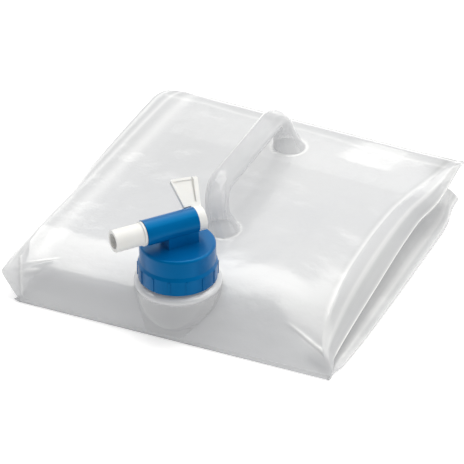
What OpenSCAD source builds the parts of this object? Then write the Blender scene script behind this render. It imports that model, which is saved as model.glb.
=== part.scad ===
// Folding water canister, empty and folded flat, with a screw cap that carries a turning tap.
// Millimetres, +Z up, the ground at z = 0, the bag's front edge along X.

/* [Bag] */
// Length of the front edge on the ground
bag_w = 241; // [220:1:260]
// Depth from the front edge to the top of the back edge
bag_d = 265; // [245:1:280]
// Height of the top panel at its back edge
back_h = 38; // [34:0.5:44]
// Height of the shoulder over the front wall
front_h = 33; // [30:0.5:36]
// Run of the front wall left of the neck, from the ground edge back to the flat panel
run_left = 37; // [30:1:44]
// Run of the front wall right of the neck
run_right = 66; // [50:1:74]
// Thickness of the front edge where the film turns under
lip_h = 3.6; // [3.2:0.1:5]
// Thickness of the blown film
film_t = 0.8; // [0.6:0.05:1]
// How far the left edge stands out past the front corner
ear_out = 15.5; // [8:0.5:20]
// How far the back edge comes forward, per millimetre along X
back_skew = 0.05; // [0:0.01:0.08]
// How far the front edge goes back, per millimetre along X
front_skew = 0.016; // [0:0.002:0.03]
// How far the back wall leans under, per millimetre of height
back_lean = 0.18; // [0:0.02:0.3]
// Depth of the folded-in gusset on each side
gusset_in = 20; // [12:1:28]

/* [Neck] */
// Place of the neck's axis along X
neck_x = -6.5; // [-20:0.5:10]
// Distance of the neck's axis behind the front edge
neck_back = 27; // [25:0.5:32]
// Height of the neck's rim
rim_z = 61.2; // [58:0.2:64]
// Radius of the neck outside, where the cap goes on
neck_r = 25.4; // [24:0.1:26]
// Radius of the neck's bore
neck_bore_r = 22; // [20:0.1:22.5]
// Radius of the bead below the cap
bead_r = 31; // [29:0.1:33]
// Height of the bead's middle
bead_z = 34.3; // [33.5:0.1:35.5]

/* [Handle] */
// Distance of the handle's middle behind the front edge
handle_back = 156.6; // [150:0.2:164]
// Place of the handle's middle along X
handle_x = -4.4; // [-12:0.2:4]
// Distance between the middles of the two feet
handle_span = 122; // [100:1:126]
// Height of the grip's axis over the panel, at the front
handle_rise = 28.8; // [26:0.5:32]
// Radius of the grip
grip_r = 8.6; // [7:0.1:9.4]
// Radius of each foot
foot_r = 11; // [9:0.1:12]
// Thickness of the handle's wall
handle_wall = 1.5; // [1:0.1:2]
// Turn of the handle away from the Y axis
handle_turn = 0.5; // [-8:0.5:8]
// Lean of the handle to the left
handle_lean = 16.5; // [0:0.5:20]
// Rise of the grip towards the back
grip_slope = 0; // [0:0.5:6]
// Radius of the bend at the front of the grip
knee_r = 20; // [16:0.5:24]
// Radius of the bend at the back of the grip
heel_r = 16; // [10:0.5:18]

/* [Cap] */
// Radius of the cap's upper part
cap_top_r = 26.7; // [26.4:0.1:28]
// Radius of the ribbed skirt
skirt_r = 27.9; // [27.6:0.1:29.4]
// Height of the cap from the skirt's edge to the deck
cap_h = 26.8; // [25:0.2:28]
// Height of the ribbed skirt
skirt_h = 11.8; // [9:0.2:14]
// Thickness of the deck
deck_t = 2.4; // [2:0.1:3]
// Number of grip ribs round the skirt
rib_n = 14; // [10:1:24]
// How far a grip rib stands out
rib_out = 0.5; // [0.4:0.1:1]
// Width of a grip rib
rib_w = 1.6; // [1:0.1:3]
// Gap all round between the cap and the neck
thread_gap = 0.4; // [0.3:0.05:0.8]
// Thickness of the sealing ring
seal_t = 1.8; // [1:0.1:2.4]

/* [Tap] */
// Direction of the tap in plan, from the nozzle to the lever
tap_turn = 51; // [0:1:90]
// Height of the tap's axis over the deck
tap_rise = 14; // [13:0.5:18]
// Radius of the barrel outside
barrel_r = 9.2; // [8.8:0.1:11]
// Length of the barrel from the cap's axis to the nozzle's side
barrel_front = 25.8; // [23:0.1:30]
// Length of the barrel from the cap's axis to the lever's side
barrel_back = 13.2; // [12:0.1:18]
// Radius of the turning core, and of its nozzle
core_r = 7.85; // [7:0.05:8]
// Radial clearance of the core in the barrel
core_gap = 0.05; // [0.02:0.01:0.1]
// End clearance of the core's collar and hub at the barrel
end_gap = 0.15; // [0.1:0.05:0.4]
// Radius of the waterway through the core
water_r = 5.6; // [4.5:0.05:6]
// Distance from the cap's axis to the nozzle's tip
nozzle_tip = 48.4; // [40:0.1:56]
// Radius of the port between the cap and the core
port_r = 3.4; // [2.5:0.1:3.6]
// Length of the core's hub, which carries the lever behind the barrel
hub_l = 5.8; // [5:0.1:8]
// Radius of the hub, and of the collar at the nozzle's side
hub_r = 8.6; // [8.2:0.1:9]
// Distance from the tap's axis to the lever's top edge
lever_l = 31.5; // [26:0.5:36]
// Width of the lever at its top
lever_top_w = 20; // [14:0.1:22]
// How far the lever's top stands out past the hub's end
lever_out = 6.7; // [2:0.1:8]
// Thickness of the lever's plate
lever_t = 3.2; // [2.4:0.1:4]
// Width of the rim round the lever's face
lever_rim = 1.5; // [1:0.1:2.5]
// Depth of the lever's face below its rim
lever_sink = 0.7; // [0.4:0.1:1]
// Width of the groove beside the lever's outer rim
groove_w = 1.2; // [0.8:0.1:1.6]
// Lean of the lever back from upright with the tap shut
lever_lean = 50; // [30:1:60]

/* [Hidden] */
$fn = 64;

film_colour = [0.93, 0.94, 0.95, 0.6];
cap_colour = [0.0, 0.33, 0.6];
core_colour = [0.93, 0.93, 0.9];

front_y = -120.5;
side_x = bag_w / 2;
neck_y = front_y + neck_back;
panel_h = (front_h + back_h) / 2;

// A smooth curve through a few points [place, value]
function slope(p, k) =
    let (a = max(k - 1, 0), b = min(k + 1, len(p) - 1))
    (p[b][1] - p[a][1]) / (p[b][0] - p[a][0]);
function curve(p, s) =
    let (
        last = len(p) - 2,
        k = max([0, for (i = [0:last]) if (s >= p[i][0]) i]),
        w = p[k + 1][0] - p[k][0],
        t = min(max((s - p[k][0]) / w, 0), 1)
    )
    (1 + 2 * t) * pow(1 - t, 2) * p[k][1] + t * pow(1 - t, 2) * w * slope(p, k)
    + t * t * (3 - 2 * t) * p[k + 1][1] + t * t * (t - 1) * w * slope(p, k + 1);
function ease(t) = let (c = min(max(t, 0), 1)) c * c * (3 - 2 * c);
function mix(a, b, t) = a + (b - a) * t;

// Edges of the bag along its depth: v is 0 at the front edge and 1 at the back edge
function left_x(v) = -side_x - curve(
    [[0, 0], [0.012, 0.7], [0.03, 1], [0.46, 0.76], [0.9, 0.6], [0.965, 0.42], [1, -0.1]], v) * ear_out;
function left_z(v) = curve([[0, lip_h * 0.55], [0.012, 11], [0.03, 18.5], [0.46, 0.79 * back_h],
    [0.9, 0.98 * back_h], [1, 1.01 * back_h]], v);
function shoulder_x(v) = side_x - curve([[0, 4], [0.06, 14], [0.11, 18], [0.36, 24.5],
    [0.68, 22], [0.9, 9], [1, 3]], v);
function shoulder_z(v) = curve([[0, lip_h], [0.03, 10], [0.06, 14.5], [0.11, 20], [0.2, 26], [0.36, 30.5],
    [0.68, 0.91 * back_h], [0.9, 0.97 * back_h], [1, back_h + 0.6]], v);
function fold_x(v) = side_x + curve([[0, -1], [0.05, -5], [0.36, -6], [0.72, -7],
    [0.84, -1], [0.95, 2.5], [1, 3]], v);
function fold_z(v) = curve([[0, lip_h * 0.6], [0.03, 5.2], [0.08, 8], [0.36, 16], [0.72, 20.5],
    [0.84, 25], [0.95, back_h - 1], [1, back_h + 0.3]], v);
function rim_x(v) = side_x + curve([[0, -1.5], [0.03, 0], [0.24, 3.5], [0.75, 6], [0.86, 5.5],
    [0.94, 1.8], [1, 1.5]], v);
function rim_z_at(v) = curve([[0, lip_h * 0.4], [0.08, 2.2], [0.36, 3.6], [1, 6]], v);
function rim_half(v) = curve([[0, lip_h * 0.2], [0.08, 1.5], [0.36, 2.4], [1, 3.6]], v);
fold_half = 2;

// Share of its height that the front wall has reached at depth v, steep on the left and rounder on the right
front_steep = [[0, 0], [0.06, 0.33], [0.15, 0.62], [0.27, 0.8], [0.42, 0.9], [0.62, 0.963], [0.82, 0.992], [1, 1]];
front_round = [[0, 0], [0.1, 0.27], [0.25, 0.56], [0.44, 0.79], [0.65, 0.925], [0.85, 0.985], [1, 1]];
function front_run(u) = mix(run_left, run_right, curve([[-1.13, -0.1], [-0.45, 0], [-0.05, 0.28],
    [0.15, 0.87], [0.6, 1], [1, 0.94]], u));
function front_wall(x, v) =
    let (u = x / side_x, q = v * bag_d / front_run(u))
    mix(curve(front_steep, q), curve(front_round, q), ease((u + 0.3) / 0.5));

// A tent of height 1 over the line from a to b, w wide on each side, fading at its ends
function along(p, a, b) = (p - a) * (b - a) / ((b - a) * (b - a));
function tent(p, a, b, w) =
    let (
        t = along(p, a, b),
        d = norm(p - a - (b - a) * t)
    )
    ease(1 - d / w) * ease(t * 4) * ease((1 - t) * 4);

// Creases of the top panel, between spots given as shares of the half width and of the depth
function spot(u, v) = [u * side_x, front_y + v * bag_d];
function creases(x, y) =
    1.2 * tent([x, y], spot(-1.029, 0.987), spot(-0.415, 0.877), 0.057 * bag_d)
    - 0.8 * tent([x, y], spot(0.415, 0.266), spot(0.29, 0.757), 0.151 * bag_d)
    + 0.9 * tent([x, y], spot(0.598, 0.092), spot(0.996, 0.047), 0.034 * bag_d);

// How far the panel's back right part dips below the back edge
function back_dip(x, v) =
    4.2 * ease((x / side_x - 0.04) / 0.37) * (1 - min(max((v - 0.865) / 0.105, 0), 1)) * ease((v - 0.5) / 0.3);

// Height of the top panel at x, at depth v
blend_right = 40;
ear_w = 10;
ear_front_w = 1.5;
back_roll = 2.2;
function panel_z(x, v) =
    let (
        y = front_y + v * bag_d,
        back_part = mix(panel_h + 0.6, back_h, ease((v - 0.3) / 0.65)),
        top = mix(front_h + 1.5, back_part, ease((v - 0.1) / 0.25)) - back_dip(x, v),
        body = mix(lip_h, top, front_wall(x, v)) + creases(x, y),
        right = shoulder_z(v) + (body - shoulder_z(v)) * ease((shoulder_x(v) - x) / blend_right),
        ear_x = mix(ear_front_w - side_x, left_x(v) + ear_w, ease((v - 0.05) / 0.08)),
        t = min(max((x - left_x(v)) / (ear_x - left_x(v)), 0), 1),
        left = mix(left_z(v) + 1.6, right, mix(ease(t), t, 0.7))
    )
    left - back_roll * ease((v - 0.97) / 0.03);

// One point of the bag: at depth v the back edge is a plane that leans
function place(x, z, v) =
    let (
        front = front_y + front_skew * (x + side_x),
        back = front_y + bag_d - back_skew * (x + side_x) - back_lean * (back_h - z)
    )
    [x, mix(front, back, v), z];

top_n = 30;
floor_n = 8;
function top_row(v, p) = [for (i = [0:top_n])
    let (
        t = i / top_n,
        x = mix(left_x(v) + p + 6, shoulder_x(v), t - 0.02 * sin(360 * t))
    )
    place(x, panel_z(x, v), v)];

// The leaf, the gusset and the rim of one side, as outline points from the leaf to the floor.
// side is 1 on the right and -1 on the left, and the points are mirrored to suit.
function side_row(side, fx, fz, sx, sz, rx, v, opening) =
    let (
        h = fold_half,
        vx = fx - gusset_in,
        rz = rim_z_at(v),
        rh = rim_half(v),
        vz = mix(rz + rh, fz - h, 0.5),
        gap = (fz - h - rz - rh) * 0.18,
        folded = [
            [mix(sx, fx, 0.5), mix(sz, fz, 0.5) + 0.6 * h],
            [fx - 0.7 * h, fz + 0.75 * h],
            [fx, fz],
            [fx - 0.7 * h, fz - 0.75 * h],
            [mix(fx, vx, 0.5), mix(fz - h, vz + gap, 0.5) - 0.3],
            [vx + 0.7, vz + gap],
            [vx, vz],
            [vx + 0.7, vz - gap],
            [mix(vx, rx, 0.5), mix(vz - gap, rz + rh, 0.55)],
            [rx - 0.8 * rh, rz + rh],
            [rx, rz],
            [rx - 1.2 * rh, rz - rh],
            [rx - 6 - rh, 0]
        ],
        n = len(folded),
        open_up = ease(v / opening)
    )
    [for (k = [0:n - 1])
        let (
            a = 180 * (k + 1) / n,
            plain = [mix(fx - 4, rx, sin(a)), sz * (1 + cos(a)) / 2],
            q = mix(plain, folded[k], open_up)
        )
        place(side * q[0], max(q[1], 0), v)];

function right_row(v, p) =
    side_row(1, fold_x(v), fold_z(v), shoulder_x(v), shoulder_z(v), rim_x(v) - p / 10, v, 0.07);
function left_row(v, p) =
    let (
        x = -left_x(v) - p,
        top = mix(lip_h, left_z(v) + 3, ease(v / 0.03)),
        rim = side_x + 1.5 * ease(v * 20) - p / 4,
        leaf = side_row(-1, x, left_z(v), x - 6, top, rim, v, 0.026),
        n = len(leaf)
    )
    [for (i = [n - 1:-1:1]) leaf[i]];
function floor_row(v, p) =
    let (a = right_row(v, p)[12][0], b = left_row(v, p)[0][0])
    [for (i = [1:floor_n]) place(mix(a, b, i / (floor_n + 1)), 0, v)];
function ring(v, p = 0) = concat(top_row(v, p), right_row(v, p), floor_row(v, p), left_row(v, p));

stations = [0, 0.005, 0.013, 0.024, 0.038, 0.055, 0.075, 0.1, 0.13, 0.17, 0.22, 0.28, 0.35, 0.42,
    0.5, 0.58, 0.66, 0.73, 0.79, 0.845, 0.89, 0.93, 0.96, 0.985, 1];
bag_grid = [for (v = stations) ring(v)];
// Inside, the ear at the front left corner is pressed flat, so the hollow stops short of it by p
function pressed(v) = (8 - side_x - left_x(v)) * (1 - ease((v - 0.05) / 0.08));
pressed_grid = [for (v = stations) ring(v, pressed(v))];
ring_n = len(bag_grid[0]);
last_ring = len(stations) - 1;

// The same grid moved inwards by the film's thickness
function unit(a) = a / max(norm(a), 1e-6);
function outward(g, j, i) =
    let (
        a = g[j][(i + 1) % ring_n] - g[j][(i + ring_n - 1) % ring_n],
        b = g[min(j + 1, last_ring)][i] - g[max(j - 1, 0)][i]
    )
    unit(cross(a, b));
function inner_point(g, j, i) =
    let (
        t = film_t * mix(1.3, 1, ease(stations[j] / 0.1)),
        p = g[j][i] - t * outward(g, j, i)
    )
    j == 0 ? place(p[0], p[2], 0) + [0, film_t, 0]
    : j == last_ring ? place(p[0], p[2], 1) - [0, film_t, 0]
    : p;
inner_grid = [for (j = [0:last_ring]) [for (i = [0:ring_n - 1]) inner_point(pressed_grid, j, i)]];

// Triangles that close a flat ring, cut off one ear at a time, the shortest cut first
function turn(p, q, r) = (q[0] - p[0]) * (r[2] - p[2]) - (q[2] - p[2]) * (r[0] - p[0]);
function holds(g, c, k) =
    turn(g[c[0]], g[c[1]], g[k]) <= 0 && turn(g[c[1]], g[c[2]], g[k]) <= 0
    && turn(g[c[2]], g[c[0]], g[k]) <= 0;
function cut(g, ids, i) =
    let (n = len(ids), c = [ids[(i + n - 1) % n], ids[i], ids[(i + 1) % n]])
    turn(g[c[0]], g[c[1]], g[c[2]]) > -0.01 ? 1e6
    : len([for (k = ids) if (k != c[0] && k != c[1] && k != c[2] && holds(g, c, k)) k]) > 0 ? 1e6
    : norm(g[c[0]] - g[c[2]]);
function ears(g, ids) =
    len(ids) == 3 ? [ids]
    : let (
        n = len(ids),
        cuts = [for (i = [0:n - 1]) cut(g, ids, i)],
        best = search(min(cuts), cuts)[0],
        rest = [for (i = [0:n - 1]) if (i != best) ids[i]]
    )
    concat([[ids[(best + n - 1) % n], ids[best], ids[(best + 1) % n]]], ears(g, rest));

// A closed skin over a grid of rings
module skin(g) {
    n = len(g[0]);
    far = (len(g) - 1) * n;
    sides = [for (j = [0:len(g) - 2]) for (i = [0:n - 1])
        let (a = j * n + i, b = j * n + (i + 1) % n)
        each [[a, a + n, b + n], [a, b + n, b]]];
    ids = [for (i = [0:n - 1]) i];
    back_cap = [for (t = ears(g[len(g) - 1], ids)) [t[0] + far, t[2] + far, t[1] + far]];
    polyhedron([for (r = g) each r], concat(sides, ears(g[0], ids), back_cap), convexity = 12);
}

// Neck: a straight neck on a bead and a rounded base that stands in the front of the bag
module neck_outside() {
    translate([neck_x, neck_y, 0]) rotate_extrude()
        polygon([[0, 3], [bead_r - 12, 3.3], [bead_r - 7, 6.5], [bead_r - 3.6, 12], [bead_r - 1.2, 18.5],
            [bead_r, 28], [bead_r - 0.9, bead_z - 2], [bead_r, bead_z - 1], [bead_r, bead_z + 0.6],
            [bead_r - 1.5, bead_z + 2], [neck_r, bead_z + 3.4], [neck_r, rim_z], [0, rim_z]]);
}
module neck_inside() {
    wall = 1.4;
    translate([neck_x, neck_y, 0]) rotate_extrude()
        polygon([[0, 4.4], [bead_r - 12.6, 4.8], [bead_r - 8.2, 7.5], [bead_r - 5, 12.7],
            [bead_r - 2.6, 18.9], [bead_r - wall, 28], [bead_r - 2.6, bead_z - 1], [neck_bore_r, bead_z + 3],
            [neck_bore_r, rim_z + 1], [0, rim_z + 1]]);
}

// Handle: a tube that rises from two wide feet, with a bend to each end of the grip
handle_mid = [handle_x, front_y + handle_back, 37];
module bend(r, tube_r, from, by) {
    rotate([90, 0, 90]) rotate_extrude(angle = by, start = from) translate([r, 0]) circle(r = tube_r);
}
module handle_tube(foot, grip, extend) {
    half = handle_span / 2;
    s = sin(grip_slope);
    c = cos(grip_slope);
    knee_z = handle_rise - knee_r * c;
    run = handle_span - heel_r - knee_r + (knee_r - heel_r) * s;
    heel_z = knee_z + (knee_r - heel_r) * c + run * s / c;
    translate([0, -half, -extend]) cylinder(r1 = foot, r2 = grip, h = knee_z + extend);
    translate([0, knee_r - half, knee_z]) {
        bend(knee_r, grip, 90 + grip_slope, 90 - grip_slope);
        translate([0, -knee_r * s, knee_r * c]) rotate([grip_slope - 90, 0, 0])
            cylinder(r = grip, h = run / c);
    }
    translate([0, half - heel_r, heel_z]) bend(heel_r, grip, 0, 90 + grip_slope);
    translate([0, half, -extend]) cylinder(r1 = foot, r2 = grip, h = heel_z + extend);
}
module handle_place() {
    translate(handle_mid) rotate([0, 0, handle_turn]) rotate([0, -handle_lean, 0]) children();
}

module canister() {
    color(film_colour) difference() {
        union() {
            skin(bag_grid);
            neck_outside();
            handle_place() handle_tube(foot_r, grip_r, 4);
        }
        skin(inner_grid);
        neck_inside();
        handle_place() handle_tube(foot_r - handle_wall, grip_r - handle_wall, 5);
    }
}

// Levels of the cap, from the neck's rim up
under_deck_z = rim_z + seal_t + 0.2;
deck_z = under_deck_z + deck_t;
cap_foot_z = deck_z - cap_h;
tap_z = deck_z + tap_rise;
cap_bore_r = neck_r + thread_gap;
stand_front = 10;
stand_w = 15;
collar_l = 1.6;
deck_round = 1.8;

module on_cap() { translate([neck_x, neck_y, 0]) children(); }
module on_tap() { translate([neck_x, neck_y, tap_z]) rotate([0, 0, tap_turn]) rotate([0, 90, 0]) children(); }

module sealing_ring() {
    color("gainsboro") on_cap() translate([0, 0, rim_z + 0.1]) difference() {
        cylinder(r = neck_r, h = seal_t);
        translate([0, 0, -1]) cylinder(r = neck_bore_r - 1, h = seal_t + 2);
    }
}

module tap_cap() {
    step_z = cap_foot_z + skirt_h;
    color(cap_colour) difference() {
        union() {
            on_cap() rotate_extrude() polygon([[0, cap_foot_z], [skirt_r, cap_foot_z],
                [skirt_r, step_z - 0.8], [skirt_r - 0.4, step_z], [cap_top_r, step_z + 1.6],
                [cap_top_r, deck_z - deck_round],
                for (a = [15:15:75]) [cap_top_r - deck_round * (1 - cos(a)), deck_z - deck_round * (1 - sin(a))],
                [cap_top_r - deck_round, deck_z], [0, deck_z]]);
            on_cap() for (k = [0:rib_n - 1]) rotate([0, 0, k * 360 / rib_n])
                translate([skirt_r - 1, -rib_w / 2, cap_foot_z + 0.4])
                    cube([1 + rib_out, rib_w, skirt_h - 1.6]);
            on_tap() translate([0, 0, -barrel_front]) cylinder(r = barrel_r, h = barrel_front + barrel_back);
            on_cap() rotate([0, 0, tap_turn]) translate([-stand_front, -stand_w / 2, deck_z - 0.5])
                cube([stand_front + barrel_back - 0.4, stand_w, tap_rise - 3]);
        }
        on_cap() translate([0, 0, cap_foot_z - 1])
            cylinder(r = cap_bore_r, h = under_deck_z - cap_foot_z + 1);
        on_cap() cylinder(r = port_r, h = tap_z);
        on_tap() translate([0, 0, -barrel_front - 1])
            cylinder(r = core_r + core_gap, h = barrel_front + barrel_back + 2);
    }
}

// Core of the tap: collar, nozzle and hub in one turned piece, with the lever on its hub.
// Its side port faces sideways with the tap shut, and down to the cap's port with it open.
module tap_core() {
    hub_z = barrel_back + end_gap;
    collar_z = -barrel_front - end_gap;
    color(core_colour) on_tap() difference() {
        union() {
            translate([0, 0, -nozzle_tip]) cylinder(r = core_r, h = nozzle_tip + hub_z + 1);
            translate([0, 0, collar_z - collar_l]) cylinder(r = hub_r, h = collar_l);
            translate([0, 0, hub_z]) cylinder(r = hub_r, h = hub_l);
            rotate([0, 0, 180 - lever_lean]) lever(hub_z);
        }
        translate([0, 0, -nozzle_tip - 1]) cylinder(r = water_r, h = nozzle_tip + 1 + 2 * port_r);
        rotate([90, 0, 0]) cylinder(r = port_r, h = core_r + 1);
        rotate([0, 0, 180 - lever_lean]) lever_face(hub_z);
    }
}
module upright(t) { translate([0, t, 0]) rotate([90, 0, 0]) linear_extrude(t) children(); }

// The lever is a fan that stands on the hub and widens over the barrel, with a rim round its
// sunk face and a groove along its outer rim
function lever_right(r, hub_z) = hub_z + hub_l + lever_out * r / lever_l;
function lever_left(r, hub_z) =
    mix(barrel_back - 4.5, lever_right(lever_l, hub_z) - lever_top_w, (r - barrel_r) / (lever_l - barrel_r));
module lever(hub_z) {
    foot = barrel_r + 0.5;
    inset = 0.25;
    translate([0, -lever_t / 2, 0]) upright(lever_t) polygon([[1, hub_z + inset], [foot, hub_z + inset],
        [foot, lever_left(foot, hub_z)], [lever_l - 1, lever_left(lever_l, hub_z)],
        [lever_l, lever_left(lever_l, hub_z) + 1], [lever_l - 2, lever_right(lever_l, hub_z) - 1],
        [lever_l - 3, lever_right(lever_l, hub_z)], [1, hub_z + hub_l - inset]]);
}
module lever_face(hub_z) {
    foot = barrel_r + 2;
    top = lever_l - lever_rim;
    near = foot + 1;
    translate([0, lever_t / 2 - lever_sink, 0]) upright(lever_sink + 1) polygon([
        [foot, lever_left(foot, hub_z) + lever_rim], [top - 0.5, lever_left(top, hub_z) + lever_rim],
        [top - 2, lever_right(top, hub_z) - 2 * lever_rim],
        [foot, lever_right(foot, hub_z) - 2 * lever_rim]]);
    translate([0, lever_t / 2 - 2 * lever_sink - 0.4, 0]) upright(2 * lever_sink + 1) polygon([
        [near, lever_right(near, hub_z) - 2 * lever_rim - groove_w],
        [lever_l + 1, lever_right(lever_l, hub_z) - 2 * lever_rim - groove_w],
        [lever_l + 1, lever_right(lever_l, hub_z) - 2 * lever_rim],
        [near, lever_right(near, hub_z) - 2 * lever_rim]]);
}

canister();
sealing_ring();
tap_cap();
tap_core();
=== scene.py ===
"""Folding water canister, empty and folded flat: film bag, neck, handle, screw cap with a tap."""
import math

import bmesh
import bpy
import numpy as np
from mathutils import Matrix, Vector


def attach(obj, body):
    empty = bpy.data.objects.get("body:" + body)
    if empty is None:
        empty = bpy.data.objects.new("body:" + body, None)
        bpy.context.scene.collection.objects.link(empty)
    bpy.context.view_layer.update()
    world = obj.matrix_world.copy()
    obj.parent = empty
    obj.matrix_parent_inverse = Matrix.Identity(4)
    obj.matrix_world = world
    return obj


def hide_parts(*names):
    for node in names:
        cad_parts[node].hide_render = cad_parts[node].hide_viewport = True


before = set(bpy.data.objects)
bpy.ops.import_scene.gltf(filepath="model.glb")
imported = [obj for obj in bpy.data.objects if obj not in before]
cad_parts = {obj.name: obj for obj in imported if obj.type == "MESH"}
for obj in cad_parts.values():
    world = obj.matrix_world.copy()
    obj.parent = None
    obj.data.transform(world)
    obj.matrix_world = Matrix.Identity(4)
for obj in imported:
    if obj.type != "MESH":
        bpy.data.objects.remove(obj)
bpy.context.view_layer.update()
MM = 0.001

# Camera
CAMERA_AZIMUTH, CAMERA_ELEVATION = 24.3, 33.0
CAMERA_DISTANCE = 1.9
CAMERA_TARGET = Vector((-0.0187, 0.0248, 0.0))
IMAGE_SIDE_PX, FOCAL_PX, SENSOR_MM = 464, 2566, 36.0


def make_camera():
    azimuth, elevation = math.radians(CAMERA_AZIMUTH), math.radians(CAMERA_ELEVATION)
    back = Vector((math.sin(azimuth) * math.cos(elevation),
                   -math.cos(azimuth) * math.cos(elevation), math.sin(elevation)))
    camera = bpy.data.cameras.new("camera")
    camera.sensor_width = SENSOR_MM
    camera.lens = FOCAL_PX / IMAGE_SIDE_PX * SENSOR_MM
    holder = bpy.data.objects.new("camera", camera)
    holder.location = CAMERA_TARGET + back * CAMERA_DISTANCE
    holder.rotation_euler = back.to_track_quat("Z", "Y").to_euler()
    bpy.context.scene.collection.objects.link(holder)
    bpy.context.scene.camera = holder


make_camera()

# Bag and handle, in millimetres
BAG_W, BAG_D = 241.0, 265.0
BACK_H, FRONT_H, LIP_H = 38.0, 33.0, 3.6
EAR_OUT, GUSSET_IN, FOLD_HALF = 15.5, 20.0, 2.0
BACK_SKEW, FRONT_SKEW, BACK_LEAN = 0.05, 0.016, 0.18
NECK_AT, BEAD_R = (-6.5, -93.5), 31.0
FRONT_Y, SIDE_X = -120.5, BAG_W / 2
PANEL_H = (FRONT_H + BACK_H) / 2
HANDLE_MID, HANDLE_SPAN, HANDLE_RISE = (-4.4, 36.1, 37.0), 122.0, 28.8
GRIP_R, FOOT_R, KNEE_R, HEEL_R, HANDLE_TURN, HANDLE_LEAN = 8.6, 11.0, 20.0, 16.0, 0.5, 16.5
HANDLE_SIDES = 48


def curve(points, s):
    """Value at s on the smooth curve through [place, value] points."""
    s = np.asarray(s, float)
    place, value = np.array(points, float).T
    order = np.arange(len(place))
    before, after = np.maximum(order - 1, 0), np.minimum(order + 1, len(place) - 1)
    slope = (value[after] - value[before]) / (place[after] - place[before])
    k = np.clip(np.searchsorted(place, s, side="right") - 1, 0, len(place) - 2)
    width = place[k + 1] - place[k]
    t = np.clip((s - place[k]) / width, 0, 1)
    return ((1 + 2 * t) * (1 - t) ** 2 * value[k] + t * (1 - t) ** 2 * width * slope[k]
            + t * t * (3 - 2 * t) * value[k + 1] + t * t * (t - 1) * width * slope[k + 1])


def ease(t):
    c = np.clip(t, 0, 1)
    return c * c * (3 - 2 * c)


def mix(a, b, t):
    return a + (b - a) * t


def bell(s, middle, wide):
    return np.exp(-((s - middle) / wide) ** 2)


def left_x(v):
    return -SIDE_X - EAR_OUT * curve([[0, 0], [0.012, 0.7], [0.03, 1], [0.46, 0.76], [0.9, 0.6],
                                      [0.94, 0.5], [0.965, 0.28], [0.985, -0.05], [1, -0.5]], v)


def left_z(v):
    return curve([[0, LIP_H * 0.55], [0.012, 11], [0.03, 18.5], [0.46, 0.79 * BACK_H],
                  [0.9, 0.98 * BACK_H], [1, 0.97 * BACK_H]], v)


def shoulder_x(v):
    return SIDE_X - curve([[0, 4], [0.06, 14], [0.11, 18], [0.36, 24.5], [0.68, 22], [0.9, 9], [1, 3]], v)


def shoulder_z(v):
    return curve([[0, LIP_H], [0.03, 10], [0.06, 14.5], [0.11, 20], [0.2, 26], [0.36, 30.5],
                  [0.68, 0.91 * BACK_H], [0.9, 0.97 * BACK_H], [1, BACK_H + 0.6]], v)


def fold_x(v):
    return SIDE_X + curve([[0, -1], [0.05, -5], [0.36, -6], [0.72, -7], [0.84, -1], [0.95, 2.5], [1, 3]], v)


def fold_z(v):
    return curve([[0, LIP_H * 0.6], [0.03, 5.2], [0.08, 8], [0.36, 16], [0.72, 20.5], [0.84, 25],
                  [0.95, BACK_H - 1], [1, BACK_H + 0.3]], v)


def rim_x(v):
    return SIDE_X + curve([[0, -1.5], [0.03, 0], [0.24, 3.5], [0.75, 6], [0.86, 5.5],
                           [0.94, 1.8], [1, 1.5]], v)


def rim_z(v):
    return curve([[0, LIP_H * 0.4], [0.08, 2.2], [0.36, 3.6], [1, 6]], v)


def rim_half(v):
    return curve([[0, LIP_H * 0.2], [0.08, 1.5], [0.36, 2.4], [1, 3.6]], v)


# Share of the front wall's height over the share of its run, left and right of the neck
FRONT_STEEP = [[0, 0], [0.06, 0.33], [0.15, 0.62], [0.27, 0.8], [0.42, 0.9], [0.62, 0.963],
               [0.82, 0.992], [1, 1]]
FRONT_ROUND = [[0, 0], [0.1, 0.27], [0.25, 0.56], [0.44, 0.79], [0.65, 0.925], [0.85, 0.985], [1, 1]]


def front_wall(x, v):
    """Share of its height that the front wall has reached at depth v."""
    along = x / SIDE_X
    end = curve([[-1.13, 0.13], [-0.45, 0.14], [-0.05, 0.17], [0.15, 0.235], [0.6, 0.25], [1, 0.24]], along)
    q = np.clip(v / end, 0, 1)
    return mix(curve(FRONT_STEEP, q), curve(FRONT_ROUND, q), ease((along + 0.3) / 0.5))


def from_line(x, y, a, b):
    """How far along the line a-b a point lies, from 0 to 1, and its signed distance to the left of it."""
    a, b = np.array(a, float), np.array(b, float)
    run = b - a
    length = np.hypot(*run)
    along = ((x - a[0]) * run[0] + (y - a[1]) * run[1]) / length ** 2
    aside = ((y - a[1]) * run[0] - (x - a[0]) * run[1]) / length
    return along, aside


def tent(x, y, a, b, wide):
    """A soft ridge of height 1 over a line, fading at its ends."""
    along, aside = from_line(x, y, a, b)
    return ease(1 - np.abs(aside) / wide) * ease(along * 4) * ease((1 - along) * 4)


def crease(x, y, a, b, wide):
    """A sharp ridge of height 1 over a line, fading at its ends."""
    along, aside = from_line(x, y, a, b)
    ridge = np.exp(-np.abs(aside) / wide)
    return ridge * ease(along * 3) * ease((1 - along) * 3)


# Creases of the top panel: height, the two ends and the width to either side
SOFT_CREASES = [(1.2, (-124, 141), (-50, 112), 15), (-0.8, (50, -50), (35, 80), 40),
                (0.2, (22, -2), (54, -3), 7)]
SHARP_CREASES = [(1.1, (-122, -117), (-96, -101), 1.3), (-0.8, (-119, -119), (-99, -109), 1.5),
                 (1.1, (72, -96), (120, -108), 2.2), (1.2, (94, -70), (120, -108), 1.8),
                 (-0.9, (92, -92), (120, -107), 2.2)]


def creases(x, y):
    """Height that the creases add to the top panel."""
    soft = sum(height * tent(x, y, a, b, wide) for height, a, b, wide in SOFT_CREASES)
    sharp = sum(height * crease(x, y, a, b, wide) for height, a, b, wide in SHARP_CREASES)
    return soft + sharp


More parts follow.
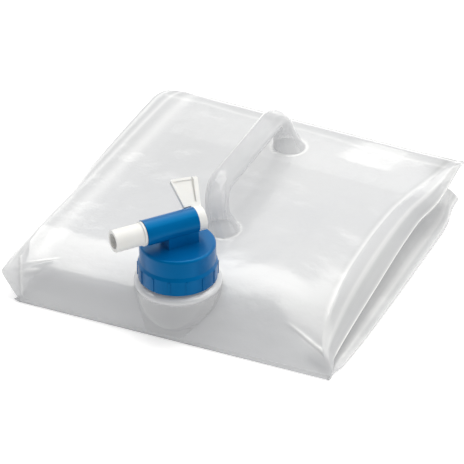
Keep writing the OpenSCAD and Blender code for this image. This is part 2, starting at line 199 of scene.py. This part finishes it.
def back_rise(x, v):
    """How far the panel's back right part dips below the back edge."""
    return 4.2 * ease((x - 5) / 45) * (1 - np.clip((v - 0.865) / 0.105, 0, 1)) * ease((v - 0.5) / 0.3)


def panel_z(x, v):
    y = FRONT_Y + v * BAG_D
    back_part = mix(PANEL_H + 0.6, BACK_H, ease((v - 0.3) / 0.65))
    top = mix(FRONT_H + 1.5, back_part, ease((v - 0.1) / 0.25)) - back_rise(x, v)
    top = top - 3.6 * (1 - ease((v - 0.06) / 0.13))
    body = mix(LIP_H, top, front_wall(x, v)) + creases(x, y)
    right = shoulder_z(v) + (body - shoulder_z(v)) * ease((shoulder_x(v) - x) / 40)
    margin = mix(1.5 - SIDE_X, left_x(v) + 10, ease((v - 0.05) / 0.08)) - left_x(v)
    t = np.clip((x - left_x(v)) / margin, 0, 1)
    left = mix(left_z(v) + 1.6, right, mix(ease(t), t, 0.7))
    return left - 2.2 * ease((v - 0.97) / 0.03)


def place(x, z, v):
    """A point of the bag at depth v, where the front and back edges are skewed and the back leans."""
    front = FRONT_Y + FRONT_SKEW * (x + SIDE_X)
    back = FRONT_Y + BAG_D - BACK_SKEW * (x + SIDE_X) - BACK_LEAN * (BACK_H - z)
    return np.stack([x, mix(front, back, v), z], axis=-1)


TOP_STEPS, FLOOR_STEPS, OUTLINE_SUB = 230, 8, 6
STATIONS = [0, 0.005, 0.013, 0.024, 0.038, 0.055, 0.075, 0.1, 0.13, 0.17, 0.22, 0.28, 0.35, 0.42,
            0.5, 0.58, 0.66, 0.73, 0.79, 0.845, 0.89, 0.93, 0.96, 0.985, 1]
STATION_SUB = 8


def top_row(v):
    t = np.linspace(0, 1, TOP_STEPS + 1)
    x = mix(left_x(v) + 6, shoulder_x(v), t - 0.02 * np.sin(2 * np.pi * t))
    return place(x, panel_z(x, v), v)


def side_row(side, fx, fz, sx, sz, rx, v, opening):
    """Outline of one side from the leaf round the gusset to the floor; side is 1 on the right."""
    vx, rz, rh = fx - GUSSET_IN, rim_z(v), rim_half(v)
    vz = mix(rz + rh, fz - FOLD_HALF, 0.5)
    gap = (fz - FOLD_HALF - rz - rh) * 0.18
    h = FOLD_HALF
    folded = np.array([
        [mix(sx, fx, 0.5), mix(sz, fz, 0.5) + 0.6 * h], [fx - 0.7 * h, fz + 0.75 * h], [fx, fz],
        [fx - 0.7 * h, fz - 0.75 * h], [mix(fx, vx, 0.5), mix(fz - h, vz + gap, 0.5) - 0.3],
        [vx + 0.7, vz + gap], [vx, vz], [vx + 0.7, vz - gap],
        [mix(vx, rx, 0.5), mix(vz - gap, rz + rh, 0.55)], [rx - 0.8 * rh, rz + rh], [rx, rz],
        [rx - 1.2 * rh, rz - rh], [rx - 6 - rh, 0]])
    n = len(folded)
    turn = np.pi * np.arange(1, n + 1) / n
    plain = np.stack([mix(fx - 4, rx, np.sin(turn)), sz * (1 + np.cos(turn)) / 2], axis=-1)
    row = mix(plain, folded, ease(v / opening))
    return place(side * row[:, 0], np.maximum(row[:, 1], 0), v)


def back_drop(v):
    """How far the ends of the back edge come down, where it rounds over."""
    return 2.6 * ease((v - 0.96) / 0.04)


def right_row(v):
    fold, shoulder = fold_z(v) - back_drop(v), shoulder_z(v) - back_drop(v)
    return side_row(1, fold_x(v), fold, shoulder_x(v), shoulder, rim_x(v), v, 0.07)


def left_row(v):
    x = -left_x(v)
    top = mix(LIP_H, left_z(v) + 3, ease(v / 0.03)) - 3 * ease((v - 0.9) / 0.1) - back_drop(v)
    leaf = side_row(-1, x, left_z(v) - back_drop(v), x - 6, top, SIDE_X + 1.5 * ease(v * 20), v, 0.026)
    return leaf[:0:-1]


def through(points, sub):
    """Points on a smooth curve through the given ones, sub to each step, without the last."""
    p = np.vstack([2 * points[0] - points[1], points, 2 * points[-1] - points[-2]])
    out = []
    for i in range(1, len(p) - 2):
        t = (np.arange(sub) / sub)[:, None]
        a, b, c, d = p[i - 1], p[i], p[i + 1], p[i + 2]
        out.append(0.5 * (2 * b + (c - a) * t + (2 * a - 5 * b + 4 * c - d) * t ** 2
                          + (3 * b - a - 3 * c + d) * t ** 3))
    return np.vstack(out)


def ring(v):
    """One closed outline of the bag at depth v, with the painted highlight and painted shade at each point.
    """
    top, right, left = top_row(v), right_row(v), left_row(v)
    floor_x = mix(right[-1][0], left[0][0], np.arange(1, FLOOR_STEPS + 1) / (FLOOR_STEPS + 1))
    floor = place(floor_x, np.zeros(FLOOR_STEPS), v)
    sides = through(np.vstack([top[-1:], right, floor, left, top[:1]]), OUTLINE_SUB)
    whole = np.vstack([top[:-1], sides])
    whole[:, 2] = np.maximum(whole[:, 2], 0)
    top_painted_highlight, top_painted_shade = top_painted_light(top[:-1], v)
    side_painted_highlight, side_painted_shade = side_painted_light(np.arange(len(sides)) / OUTLINE_SUB, v)
    return whole, np.append(top_painted_highlight, side_painted_highlight), np.append(top_painted_shade, side_painted_shade)


# Folds painted with a highlight line beside a shade line: the two ends and the width
PAINTED_FOLD_LINES = [((-124, -113), (-94, -98), 0.9), ((-122, -116), (-104, -111), 0.7),
              ((74, -94), (119, -109), 1.0), ((94, -68), (120, -108), 0.9), ((100, -101), (119, -112), 0.7)]


def top_painted_light(row, v):
    """Painted highlight and painted shade over the top: bands along the left and back edges, the shoulder,
    rings round the handle's feet, the creases and the ear's crease, and a broad painted shade towards the
    back left.
    """
    x, y = row[:, 0], row[:, 1]
    from_left, from_right, from_back = x - left_x(v), shoulder_x(v) - x, (1 - v) * BAG_D
    # pale is painted highlight and grey is painted shade, in bands along the left edge, the shoulder and the
    # back edge.
    left_on = ease((v - 0.04) / 0.06)
    pale = left_on * (0.3 * bell(from_left, 11, 1.6) + 0.25 * bell(from_left, 24, 5))
    shoulder_on = ease((v - 0.1) / 0.1) * (1 - 0.8 * ease((v - 0.86) / 0.08))
    pale = pale + 0.4 * bell(from_right, 1.2, 1.7) * shoulder_on + 0.2 * bell(from_back, 16, 1.8)
    grey = left_on * (0.4 * bell(from_left, 7, 1.6) + 0.3 * bell(from_left, 16, 4))
    grey = grey + 0.35 * bell(from_right, 4.5, 1.6) * ease((v - 0.1) / 0.1) + 0.42 * bell(from_back, 3, 6.5)
    grey = grey + 0.7 * bell(from_right, 3, 9) * ease((v - 0.86) / 0.08)
    # Painted highlight rings round the handle's feet.
    for foot_y in (-HANDLE_SPAN / 2, HANDLE_SPAN / 2):
        from_foot = np.hypot(x - HANDLE_MID[0], y - HANDLE_MID[1] - foot_y)
        pale = pale + 0.6 * bell(from_foot, FOOT_R + 2.6, 0.9)
    # Painted highlight on one side of each fold, painted shade on the other.
    for a, b, wide in PAINTED_FOLD_LINES:
        along, aside = from_line(x, y, a, b)
        on = ease(along * 2) * ease((1 - along) * 3)
        pale = pale + 0.8 * bell(aside, 1.0, wide) * on
        grey = grey + 0.7 * bell(aside, -0.9, wide) * on
    # Broad painted shade towards the back left of the panel.
    grey = grey + 0.3 * bell(np.hypot((x + 75) / 50, (y - 70) / 65), 0, 1)
    # Painted shade and painted highlight beside the ear's crease.
    ear_crease_shade = bell(x, -118 - 140 * v, 0.9) * (1 - ease((v - 0.055) / 0.02))
    return pale + 0.5 * bell(x, -116.4 - 140 * v, 0.9) * (v < 0.07), grey + 0.8 * ear_crease_shade


def side_painted_light(u, v):
    """Painted highlight and painted shade over the sides, on the fold lips, in the gusset's shaded valley, on
    the lower leaf's rim and at the ear; u counts their points from the right shoulder round to the left.
    """
    on = ease((v - 0.03) / 0.08)
    fold_on = 1 - 0.8 * ease((v - 0.86) / 0.08)
    ear = ease((v - 0.02) / 0.04)
    # pale is painted highlight, also painted light in the gusset's shaded valley, and grey is painted shade
    # beside the folds.
    pale = on * (fold_on * (0.9 * bell(u, 2.5, 0.3) + 0.45 * bell(u, 0.9, 0.16)) + 0.9 * bell(u, 7, 1.8)
                 + 0.6 * bell(u, 10.35, 0.18) + 0.4 * bell(u, 9.6, 0.1)) + ear * 0.4 * bell(u, 33.5, 0.25)
    grey = on * (0.6 * bell(u, 1.5, 1.2) * (1 - fold_on) + 0.4 * bell(u, 3.5, 0.3) + 0.4 * bell(u, 1.3, 0.2)
                 + 0.35 * bell(u, 1.8, 0.15) + 0.6 * bell(u, 9.6, 0.5) + 0.9 * bell(u, 11.1, 0.4))
    grey = grey + ear * 0.9 * bell(u, 32.6, 0.5)
    return pale, grey


def film_bag():
    """The bag as a lofted shell: rings from the front edge to the back wall."""
    index = np.linspace(0, len(STATIONS) - 1, (len(STATIONS) - 1) * STATION_SUB + 1)
    depths = np.interp(index, np.arange(len(STATIONS)), STATIONS)
    rings, pale, grey = (np.array(part) for part in zip(*[ring(v) for v in depths]))
    rings = rings * MM
    rows, around = rings.shape[:2]
    verts = rings.reshape(-1, 3)
    a = (np.arange(rows - 1)[:, None] * around + np.arange(around)[None, :]).ravel()
    b = (np.arange(rows - 1)[:, None] * around + (np.arange(around)[None, :] + 1) % around).ravel()
    faces = np.stack([a, a + around, b + around, b], axis=1)
    mesh = bpy.data.meshes.new("film_bag")
    mesh.from_pydata(verts.tolist(), [], faces.tolist())
    # The painted highlight and painted shade go on the mesh as attributes.
    for line, strength in (("pale_line", pale), ("grey_line", grey)):
        mesh.attributes.new(line, "FLOAT", "POINT").data.foreach_set("value", np.clip(strength, 0, 1).ravel())
    bag = bpy.data.objects.new("film_bag", mesh)
    bpy.context.scene.collection.objects.link(bag)
    work = bmesh.new()
    work.from_mesh(mesh)
    for first in (0, (rows - 1) * around):
        work.verts.ensure_lookup_table()
        work.faces.new([work.verts[first + i] for i in range(around)])
    ends = [f for f in work.faces if len(f.verts) > 4]
    bmesh.ops.triangulate(work, faces=ends)
    bmesh.ops.recalc_face_normals(work, faces=work.faces[:])
    middle = Vector((*NECK_AT, 0)) * MM
    mouth = [f for f in work.faces if f.normal.z > 0.05 and f.calc_center_median().z > 3 * MM
             and (f.calc_center_median() - middle).xy.length < (BEAD_R - 2.5) * MM]
    bmesh.ops.delete(work, geom=mouth, context="FACES")
    work.to_mesh(mesh)
    work.free()
    mesh.shade_smooth()
    return bag


# Turned and swept pieces
def deselect():
    if bpy.context.object and bpy.context.object.mode != "OBJECT":
        bpy.ops.object.mode_set(mode="OBJECT")
    bpy.ops.object.select_all(action="DESELECT")


def turned(name, profile, at, sides=96):
    """A piece turned about the upright line through at: profile is radius, height pairs in mm."""
    deselect()
    (radius, height), rest = profile[0], profile[1:]
    bpy.ops.mesh.primitive_circle_add(vertices=sides, radius=radius * MM,
                                      location=(at[0] * MM, at[1] * MM, height * MM))
    piece = bpy.context.object
    piece.name = piece.data.name = name
    bpy.ops.object.transform_apply(location=True, rotation=True, scale=True)
    bpy.ops.object.mode_set(mode="EDIT")
    centre = Vector((at[0] * MM, at[1] * MM, 0))
    for next_radius, next_height in rest:
        bpy.ops.mesh.extrude_edges_move(
            TRANSFORM_OT_translate={"value": (0, 0, (next_height - height) * MM)})
        bpy.ops.transform.resize(value=(next_radius / radius, next_radius / radius, 1),
                                 center_override=centre)
        radius, height = next_radius, next_height
    return piece


def close_up(piece):
    """Leaves edit mode with the piece's doubles merged and its faces pointing outwards."""
    bpy.ops.mesh.select_all(action="SELECT")
    bpy.ops.mesh.remove_doubles(threshold=1e-6)
    bpy.ops.mesh.normals_make_consistent(inside=False)
    bpy.ops.object.mode_set(mode="OBJECT")
    return piece


def smooth(piece, degrees=40):
    deselect()
    piece.select_set(True)
    bpy.context.view_layer.objects.active = piece
    bpy.ops.object.shade_smooth_by_angle(angle=math.radians(degrees))
    return piece


RIM_Z, NECK_R, NECK_BORE_R, BEAD_Z = 61.2, 25.4, 22.0, 34.3
THREAD_R, THREAD_PROUD, THREAD_PITCH, THREAD_TURNS, THREAD_LOW = 1.1, 0.36, 6, 2, 9


def bag_height(x, y):
    """Height of the bag's top over a place, and 0 outside its front and back edges."""
    front = FRONT_Y + FRONT_SKEW * (x + SIDE_X)
    v = (y - front) / (FRONT_Y + BAG_D - BACK_SKEW * (x + SIDE_X) - front)
    return float(panel_z(np.array([x]), v)[0]) if 0 <= v <= 1 else 0.0


def neck():
    """Neck with its bead and the rounded base that stands in the front of the bag, open to its inside."""
    outside = [(BEAD_R - 17, 3.0), (BEAD_R - 12, 3.3), (BEAD_R - 9, 4.6), (BEAD_R - 7, 6.5),
               (BEAD_R - 5.2, 9), (BEAD_R - 3.6, 12), (BEAD_R - 2.3, 15), (BEAD_R - 1.2, 18.5),
               (BEAD_R - 0.6, 21.5), (BEAD_R - 0.2, 24.5), (BEAD_R, 28), (BEAD_R - 0.4, 30.5),
               (BEAD_R - 0.9, BEAD_Z - 2.4), (BEAD_R - 0.8, BEAD_Z - 1.7), (BEAD_R - 0.2, BEAD_Z - 1.1),
               (BEAD_R, BEAD_Z - 0.4), (BEAD_R - 0.1, BEAD_Z + 0.6), (BEAD_R - 0.6, BEAD_Z + 1.4),
               (BEAD_R - 1.6, BEAD_Z + 2), (NECK_R + 1.2, BEAD_Z + 2.6), (NECK_R, BEAD_Z + 3.6),
               (NECK_R, RIM_Z - 0.6), (NECK_R - 0.6, RIM_Z), (NECK_BORE_R + 0.4, RIM_Z),
               (NECK_BORE_R, RIM_Z - 0.5), (NECK_BORE_R, BEAD_Z + 3), (BEAD_R - 2.6, BEAD_Z - 1)]
    piece = close_up(turned("neck", outside, NECK_AT))
    work = bmesh.new()
    work.from_mesh(piece.data)
    hidden = []
    for face in work.faces:
        x, y, z = face.calc_center_median() / MM
        if z < BEAD_Z - 3 and z < bag_height(x, y) - 1.5:
            hidden.append(face)
    bmesh.ops.delete(work, geom=hidden, context="FACES")
    work.to_mesh(piece.data)
    work.free()
    return smooth(piece)


def thread():
    """The neck's thread: a low rounded ridge that climbs round it, run up with a Screw modifier."""
    deselect()
    bpy.ops.mesh.primitive_circle_add(vertices=12, radius=THREAD_R * MM, rotation=(math.pi / 2, 0, 0),
                                      location=((NECK_R + THREAD_PROUD - THREAD_R) * MM, 0, 0))
    ridge = bpy.context.object
    ridge.name = ridge.data.name = "neck_thread"
    bpy.ops.object.transform_apply(location=True, rotation=True, scale=True)
    climb = ridge.modifiers.new("climb", "SCREW")
    climb.axis, climb.angle = "Z", math.tau * THREAD_TURNS
    climb.screw_offset = THREAD_PITCH * THREAD_TURNS * MM
    climb.steps = climb.render_steps = 160
    bpy.ops.object.modifier_apply(modifier="climb")
    ridge.data.transform(Matrix.Translation(Vector((*NECK_AT, BEAD_Z + THREAD_LOW)) * MM))
    bpy.ops.object.mode_set(mode="EDIT")
    bpy.ops.mesh.select_all(action="DESELECT")
    bpy.ops.mesh.select_non_manifold()
    bpy.ops.mesh.edge_face_add()
    close_up(ridge)
    return smooth(ridge)


def handle():
    """Tubular handle, run up from its front foot, round the knee, along the grip and down again."""
    half = HANDLE_SPAN / 2
    knee_z, heel_z = HANDLE_RISE - KNEE_R, HANDLE_RISE - HEEL_R
    deselect()
    bpy.ops.mesh.primitive_circle_add(vertices=HANDLE_SIDES, radius=(FOOT_R + 1.8) * MM,
                                      location=(0, -half * MM, -2.5 * MM))
    piece = bpy.context.object
    piece.name = piece.data.name = "handle"
    bpy.ops.object.transform_apply(location=True, rotation=True, scale=True)
    bpy.ops.object.mode_set(mode="EDIT")

    def leg(y, steps):
        radius, z = steps[0]
        for next_radius, next_z in steps[1:]:
            bpy.ops.mesh.extrude_edges_move(
                TRANSFORM_OT_translate={"value": (0, 0, (next_z - z) * MM)})
            bpy.ops.transform.resize(value=(next_radius / radius,) * 2 + (1,),
                                     center_override=(0, y * MM, 0))
            radius, z = next_radius, next_z

    flare = [(FOOT_R + 1.8, -2.5), (FOOT_R + 0.7, -0.6), (FOOT_R, 1.2), (FOOT_R - 0.5, 4), (GRIP_R, knee_z)]
    leg(-half, flare)
    bpy.ops.mesh.spin(steps=14, angle=math.radians(90), center=(0, (KNEE_R - half) * MM, knee_z * MM),
                      axis=(1, 0, 0))
    bpy.ops.mesh.extrude_edges_move(
        TRANSFORM_OT_translate={"value": (0, (HANDLE_SPAN - KNEE_R - HEEL_R) * MM, 0)})
    bpy.ops.mesh.spin(steps=12, angle=math.radians(90), center=(0, (half - HEEL_R) * MM, heel_z * MM),
                      axis=(1, 0, 0))
    leg(half, [(GRIP_R, heel_z), (FOOT_R - 0.5, 5), (FOOT_R, 1.6), (FOOT_R + 0.7, -0.4),
               (FOOT_R + 1.8, -2.5)])
    close_up(piece)
    seat = (Matrix.Translation(Vector(HANDLE_MID) * MM) @ Matrix.Rotation(math.radians(HANDLE_TURN), 4, "Z")
            @ Matrix.Rotation(math.radians(-HANDLE_LEAN), 4, "Y"))
    piece.data.transform(seat)
    return smooth(piece, 60)


# Materials
class Value:
    """A node socket that arithmetic can be written with."""

    def __init__(self, finish, socket):
        self.finish, self.socket = finish, socket

    def _math(self, operation, *terms):
        return self.finish.node("ShaderNodeMath", {"operation": operation}, dict(enumerate(terms)))

    def __add__(self, other):
        return self._math("ADD", self, other)

    def __sub__(self, other):
        return self._math("SUBTRACT", self, other)

    def __rsub__(self, other):
        return self._math("SUBTRACT", other, self)

    def __mul__(self, other):
        return self._math("MULTIPLY", self, other)

    __radd__, __rmul__ = __add__, __mul__


class Finish:
    """A new material with one shader, and a way to add nodes to it."""

    def __init__(self, name):
        self.material = bpy.data.materials.new(name)
        self.material.use_nodes = True
        self.tree = self.material.node_tree
        self.tree.nodes.clear()
        self.place = self.node("ShaderNodeTexCoord", output="Object")

    def node(self, kind, settings=None, inputs=None, output=0):
        made = self.tree.nodes.new(kind)
        for name, value in (settings or {}).items():
            if name == "stops":
                ramp = made.color_ramp
                while len(ramp.elements) < len(value):
                    ramp.elements.new(1.0)
                for element, (position, colour) in zip(ramp.elements, value):
                    element.position, element.color = position, (*colour, 1)
            else:
                setattr(made, name, value)
        for name, value in (inputs or {}).items():
            if isinstance(value, Value):
                self.tree.links.new(value.socket, made.inputs[name])
            else:
                made.inputs[name].default_value = value
        return Value(self, made.outputs[output])

    def noise(self, scale, detail=3.0, stretch=(1, 1, 1), turn=(0, 0, 0)):
        """Noise from 0 to 1, with scale in repeats per metre."""
        place = self.node("ShaderNodeMapping", {}, {"Vector": self.place, "Scale": stretch, "Rotation": turn})
        return self.node("ShaderNodeTexNoise", {}, {"Vector": place, "Scale": scale, "Detail": detail})

    def blend(self, factor, first, second):
        first, second = (end if isinstance(end, Value) else (*end, 1) for end in (first, second))
        return self.node("ShaderNodeMix", {"data_type": "RGBA"}, {0: factor, 6: first, 7: second}, output=2)

    def bump(self, height, distance, strength=1.0):
        return self.node("ShaderNodeBump", {}, {"Height": height, "Distance": distance, "Strength": strength})

    def shade(self, **inputs):
        names = {key.replace("_", " ").title().replace("Ior", "IOR"): value for key, value in inputs.items()}
        shader = self.node("ShaderNodeBsdfPrincipled", {}, names)
        self.node_out(shader)
        return self.material

    def node_out(self, shader):
        out = self.tree.nodes.new("ShaderNodeOutputMaterial")
        self.tree.links.new(shader.socket, out.inputs["Surface"])


# Colours of the painted shade, the painted highlight and the painted glow.
PAINTED_SHADE_COLOUR, PAINTED_HIGHLIGHT_COLOUR, PAINTED_GLOW_COLOUR = (0.34, 0.345, 0.35), (0.9, 0.9, 0.89), (1, 1, 0.98)


def film_finish(name, dense, pale, rim=0.3, firm=0.0, firm_z=(0.0305, 0.0335), gloss=0.18, drawn=False):
    """Milky film: dense is its opacity seen square on, rim what it gains seen edge on, pale its whiteness.

    Over the heights firm_z the piece gains firm in opacity: the neck at its bead, the bag towards its panel.
    Drawn film has waves and fine streaks, and carries the painted highlight and painted shade of its folds,
    edges and gusset, with a faint painted glow along the highlight."""
    finish = Finish(name)
    cloud = finish.noise(14, 2)
    ripples = finish.noise(38, 4)
    edge = finish.node("ShaderNodeLayerWeight", {}, {"Blend": 0.3}, output="Facing")
    opacity = edge * rim + cloud * 0.08 + dense
    colour = finish.blend(cloud, (pale * 0.98, pale, pale * 1.045), (pale * 1.03, pale * 1.04, pale * 1.055))
    height = ripples * 0.4
    if firm:
        level = finish.node("ShaderNodeSeparateXYZ", {}, {0: finish.place}, output="Z")
        opacity = opacity + firm * finish.node("ShaderNodeMapRange", {"interpolation_type": "SMOOTHSTEP"},
                                               {"Value": level, "From Min": firm_z[0], "From Max": firm_z[1]})
    painted_glow = {}
    if drawn:
        streaks = finish.noise(260, 2, stretch=(1, 0.05, 1))
        # The bag's painted highlight and painted shade, read from its mesh.
        pale_line, grey_line = (finish.node("ShaderNodeAttribute", {"attribute_name": line}, output="Fac")
                                for line in ("pale_line", "grey_line"))
        colour = finish.blend(grey_line * 0.75, colour, PAINTED_SHADE_COLOUR)
        colour = finish.blend(pale_line * 0.85, colour, PAINTED_HIGHLIGHT_COLOUR)
        opacity = opacity + pale_line * 0.25 + grey_line * 0.2
        height = ripples * 2.8 + streaks * 0.12 + cloud * 12.0 + pale_line * 0.8 - grey_line * 0.5
        # Painted glow: the painted highlight also gives off a faint light.
        painted_glow = {"emission_color": finish.blend(pale_line, (0, 0, 0), PAINTED_GLOW_COLOUR),
                         "emission_strength": 0.1}
    return finish.shade(
        base_color=colour, roughness=cloud * 0.08 + gloss, alpha=opacity,
        normal=finish.bump(height, 0.0012, 0.5), specular_ior_level=0.6,
        coat_weight=1.0, coat_roughness=gloss * 0.9, ior=1.5, **painted_glow)


def cap_finish():
    finish = Finish("blue_moulding")
    cloud = finish.noise(60, 3)
    grain = finish.noise(900, 2)
    colour = finish.blend(cloud, (0.0, 0.085, 0.255), (0.0, 0.115, 0.335))
    return finish.shade(base_color=colour, roughness=cloud * 0.1 + 0.2,
                        normal=finish.bump(grain, 0.0002, 0.2), specular_ior_level=0.6,
                        specular_tint=(0.0, 0.45, 0.9, 1))


def core_finish():
    finish = Finish("white_moulding")
    cloud = finish.noise(70, 3)
    grain = finish.noise(1100, 2)
    colour = finish.blend(cloud, (0.76, 0.76, 0.74), (0.82, 0.82, 0.80))
    return finish.shade(base_color=colour, roughness=cloud * 0.12 + 0.34,
                        normal=finish.bump(grain, 0.0002, 0.25), ior=1.5,
                        subsurface_weight=0.15, subsurface_radius=(1.0, 0.9, 0.8), subsurface_scale=0.002)


def seal_finish():
    finish = Finish("foam_seal")
    cells = finish.noise(2200, 3)
    colour = finish.blend(cells, (0.62, 0.62, 0.6), (0.74, 0.74, 0.72))
    return finish.shade(base_color=colour, roughness=0.75, normal=finish.bump(cells, 0.0002, 0.5))


def dress(piece, material):
    piece.data.materials.clear()
    piece.data.materials.append(material)


# The pieces, each with its material; the bag's pieces go in the canister body
bag_film = film_finish("milky_film", 0.44, 0.63, firm=0.26, firm_z=(0.022, 0.034), gloss=0.15, drawn=True)
neck_film = film_finish("neck_film", 0.12, 0.66, rim=0.25, firm=0.6)
handle_film = film_finish("handle_film", 0.28, 0.58, rim=0.5, gloss=0.07)
bag = film_bag()
for piece, look in ((bag, bag_film), (neck(), neck_film), (handle(), handle_film), (thread(), neck_film)):
    dress(piece, look)
    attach(piece, "canister")
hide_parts("canister")

for node, material, slot in (("tap_cap", cap_finish(), "cap"), ("tap_core", core_finish(), "core"),
                             ("sealing_ring", seal_finish(), "seal")):
    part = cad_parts[node]
    smooth(part, 35)
    dress(part, material)


# Floor and light
def seen_rays(nodes, links):
    """1 for the rays that show the background itself: straight, mirrored or through clear plastic."""
    path = nodes.new("ShaderNodeLightPath")
    total = path.outputs["Is Camera Ray"]
    for kind in ("Is Glossy Ray", "Is Transmission Ray"):
        either = nodes.new("ShaderNodeMath")
        either.operation = "MAXIMUM"
        links.new(total, either.inputs[0])
        links.new(path.outputs[kind], either.inputs[1])
        total = either.outputs[0]
    return total


def floor():
    deselect()
    bpy.ops.mesh.primitive_plane_add(size=6, location=(0, 0, -0.0004))
    sheet = bpy.context.object
    sheet.name = "floor"
    finish = Finish("floor")
    seen = Value(finish, seen_rays(finish.tree.nodes, finish.tree.links))
    pale = finish.node("ShaderNodeBsdfDiffuse", {}, {"Color": (0.9, 0.9, 0.9, 1)})
    lift = finish.node("ShaderNodeEmission", {}, {"Color": (1, 1, 1, 1), "Strength": seen * 0.4})
    both = finish.tree.nodes.new("ShaderNodeAddShader")
    finish.tree.links.new(pale.socket, both.inputs[0])
    finish.tree.links.new(lift.socket, both.inputs[1])
    finish.node_out(Value(finish, both.outputs[0]))
    sheet.data.materials.append(finish.material)


def sky(light, seen_light):
    world = bpy.data.worlds.new("studio")
    bpy.context.scene.world = world
    world.use_nodes = True
    nodes, links = world.node_tree.nodes, world.node_tree.links
    nodes.clear()
    plain, seen = nodes.new("ShaderNodeBackground"), nodes.new("ShaderNodeBackground")
    plain.inputs["Color"].default_value = (light, light, light * 1.01, 1)
    seen.inputs["Color"].default_value = (seen_light,) * 3 + (1,)
    pick, out = nodes.new("ShaderNodeMixShader"), nodes.new("ShaderNodeOutputWorld")
    links.new(seen_rays(nodes, links), pick.inputs[0])
    links.new(plain.outputs[0], pick.inputs[1])
    links.new(seen.outputs[0], pick.inputs[2])
    links.new(pick.outputs[0], out.inputs[0])


def soft_light(name, at, look_at, size, power):
    lamp = bpy.data.lights.new(name, "AREA")
    lamp.shape, lamp.size, lamp.size_y, lamp.energy = "RECTANGLE", size[0], size[1], power
    lamp.color = (1, 0.988, 0.945)
    holder = bpy.data.objects.new(name, lamp)
    holder.location = at
    holder.rotation_euler = (Vector(at) - Vector(look_at)).to_track_quat("Z", "Y").to_euler()
    bpy.context.scene.collection.objects.link(holder)


floor()
sky(0.54, 1.0)
soft_light("back_top", (0.06, 0.48, 1.3), (0, 0, 0), (2.1, 1.12), 20)
soft_light("right", (1.3, 0.2, 0.7), (0, 0, 0), (0.6, 0.6), 2.2)

scene = bpy.context.scene
scene.view_settings.view_transform = "Standard"
